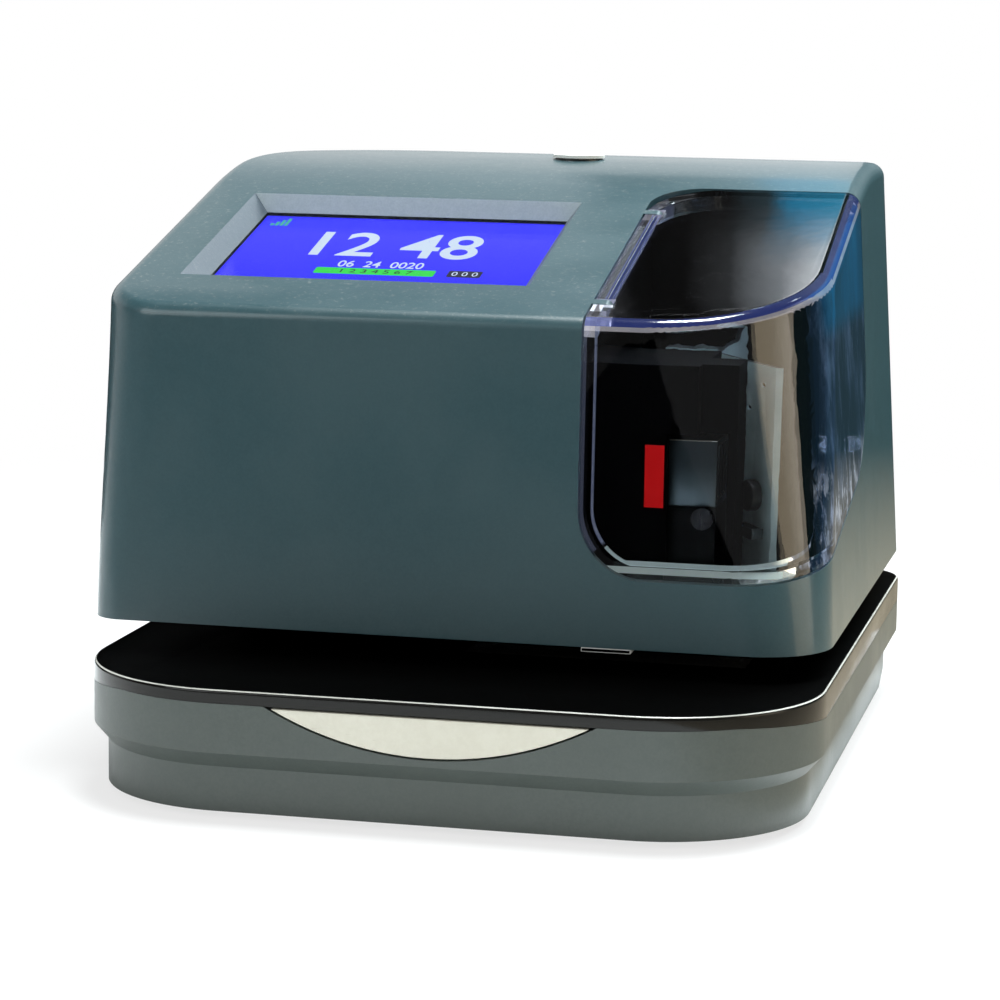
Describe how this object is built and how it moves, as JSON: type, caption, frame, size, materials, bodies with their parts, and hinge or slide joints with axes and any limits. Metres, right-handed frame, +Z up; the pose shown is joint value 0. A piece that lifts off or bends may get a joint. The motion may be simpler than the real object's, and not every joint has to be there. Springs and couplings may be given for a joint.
{
  "type": "date and time stamp machine",
  "caption": "Desk-top time recorder: sloping hood with a display and a clear hinged ribbon cover over a paper table, on a low base with a push bar.",
  "frame": {"origin": "on the floor under the middle of the base", "axes": "+Z up, +Y to the back, +X to the right as seen from the front; the paper goes in at -Y"},
  "size_m": [0.159, 0.1816, 0.128],
  "materials": {
    "hood_plastic": "satin, dark slate green",
    "base_plastic": "fine grain, slate grey",
    "table_plastic": "polished black",
    "cream_plastic": "cream",
    "clear_cover": "clear, slightly smoked plastic",
    "display_window": "clear window",
    "display_module": "lit blue screen",
    "foot_rubber": "matt",
    "platen_rubber": "fine matt",
    "belt_rubber": "matt",
    "red_mark": "red",
    "marker_pale": "off-white",
    "ink_fabric": "inked",
    "black_plastic": "black",
    "gear_plastic": "natural",
    "circuit_board": "lacquered green",
    "galvanised_steel": "galvanised",
    "bright_steel": "ground",
    "screw_steel": "zinc plated",
    "cast_aluminium": "cast, blasted",
    "head_plastic": "black",
    "battery_wrap": "shrink wrap"
  },
  "bodies": {
    "machine": {"base_shell": "base_plastic", "base_screws": "screw_steel", "base_plate": "galvanised_steel", "rubber_feet": "foot_rubber", "push_sensor": "black_plastic", "spring_bracket": "galvanised_steel", "push_springs": "bright_steel", "main_board": "circuit_board", "board_screws": "screw_steel", "backup_battery": "battery_wrap", "power_inlet": "black_plastic", "data_socket": "black_plastic", "paper_table": "table_plastic", "platen": "platen_rubber", "throat_block": "black_plastic", "throat_screws": "screw_steel", "hood_floor": "black_plastic", "hood_screws": "screw_steel", "hood_shell": "hood_plastic", "cover_hinge_pin": "bright_steel", "display_lens": "display_window", "display_panel": "display_module", "display_board": "circuit_board", "display_screws": "screw_steel", "lock_barrel": "bright_steel", "lock_clip": "galvanised_steel", "position_marker": "marker_pale", "inner_liner": "black_plastic", "mechanism_plate": "galvanised_steel", "mechanism_screws": "screw_steel", "left_frame": "galvanised_steel", "right_frame": "galvanised_steel", "front_guide_shaft": "bright_steel", "rear_guide_shaft": "bright_steel", "carriage_motor": "bright_steel", "idler_bracket": "galvanised_steel", "drive_belt": "belt_rubber", "ribbon_cassette": "black_plastic", "cassette_lid": "black_plastic", "ink_ribbon": "ink_fabric", "ribbon_tab": "red_mark", "ribbon_motor": "bright_steel", "trigger_pin": "bright_steel", "trigger_bracket": "black_plastic"},
    "cover": {"ribbon_cover": "clear_cover"},
    "push_bar_body": {"push_bar": "cream_plastic"},
    "lock_core": {"lock_rotor": "cream_plastic", "lock_cam": "galvanised_steel"},
    "carriage_body": {"carriage": "black_plastic", "print_head": "head_plastic", "head_heatsink": "cast_aluminium", "head_screws": "screw_steel"},
    "motor_pulley_body": {"motor_pulley": "gear_plastic"},
    "idler_pulley_body": {"idler_pulley": "gear_plastic"},
    "ribbon_feed": {"ribbon_wheel": "gear_plastic", "ribbon_knob": "black_plastic"},
    "ribbon_pinion_body": {"ribbon_pinion": "gear_plastic"},
    "trigger_body": {"paper_trigger": "black_plastic"}
  },
  "joints": [
    {"name": "cover_hinge", "type": "hinge", "parent": "machine", "child": "cover", "pos_m": [0.0293, -0.03931, 0.1024], "axis": [0, -0.9681, -0.2504], "range_deg": [0, 100]},
    {"name": "push_bar_slide", "type": "slide", "parent": "machine", "child": "push_bar_body", "axis": [0, 1, 0], "range_m": [0, 0.0025], "stiffness_N_per_m": 600, "springref_m": -0.002, "deforming": ["push_springs"]},
    {"name": "lock_turn", "type": "hinge", "parent": "machine", "child": "lock_core", "pos_m": [0.0012, 0.06675, 0.12], "axis": [0, 0, 1], "range_deg": [0, 90]},
    {"name": "carriage_slide", "type": "slide", "parent": "machine", "child": "carriage_body", "axis": [-1, 0, 0], "range_m": [0, 0.03]},
    {"name": "motor_pulley_spin", "type": "hinge", "parent": "machine", "child": "motor_pulley_body", "pos_m": [-0.042, 0.02, 0.06], "axis": [0, 0, -1], "range_deg": [0, 336]},
    {"name": "idler_pulley_spin", "type": "hinge", "parent": "machine", "child": "idler_pulley_body", "pos_m": [0.0395, 0.02, 0.06], "axis": [0, 0, -1], "range_deg": [0, 336]},
    {"name": "ribbon_feed_spin", "type": "hinge", "parent": "machine", "child": "ribbon_feed", "pos_m": [-0.0079, -0.025, 0.074], "axis": [0, 0, 1], "continuous": true},
    {"name": "ribbon_pinion_spin", "type": "hinge", "parent": "machine", "child": "ribbon_pinion_body", "pos_m": [-0.024, -0.025, 0.074], "axis": [0, 0, 1], "continuous": true},
    {"name": "paper_trigger_swing", "type": "hinge", "parent": "machine", "child": "trigger_body", "pos_m": [0.033, 0.016, 0.0406], "axis": [1, 0, 0], "range_deg": [0, 12], "stiffness_Nm_per_rad": 0.002, "springref_deg": -5.73}
  ],
  "couplings": [
    {"joint": "motor_pulley_spin", "follows": "carriage_slide", "rad_per_m": 194.17},
    {"joint": "idler_pulley_spin", "follows": "carriage_slide", "rad_per_m": 194.17},
    {"joint": "ribbon_pinion_spin", "follows": "ribbon_feed_spin", "ratio": -3}
  ]
}
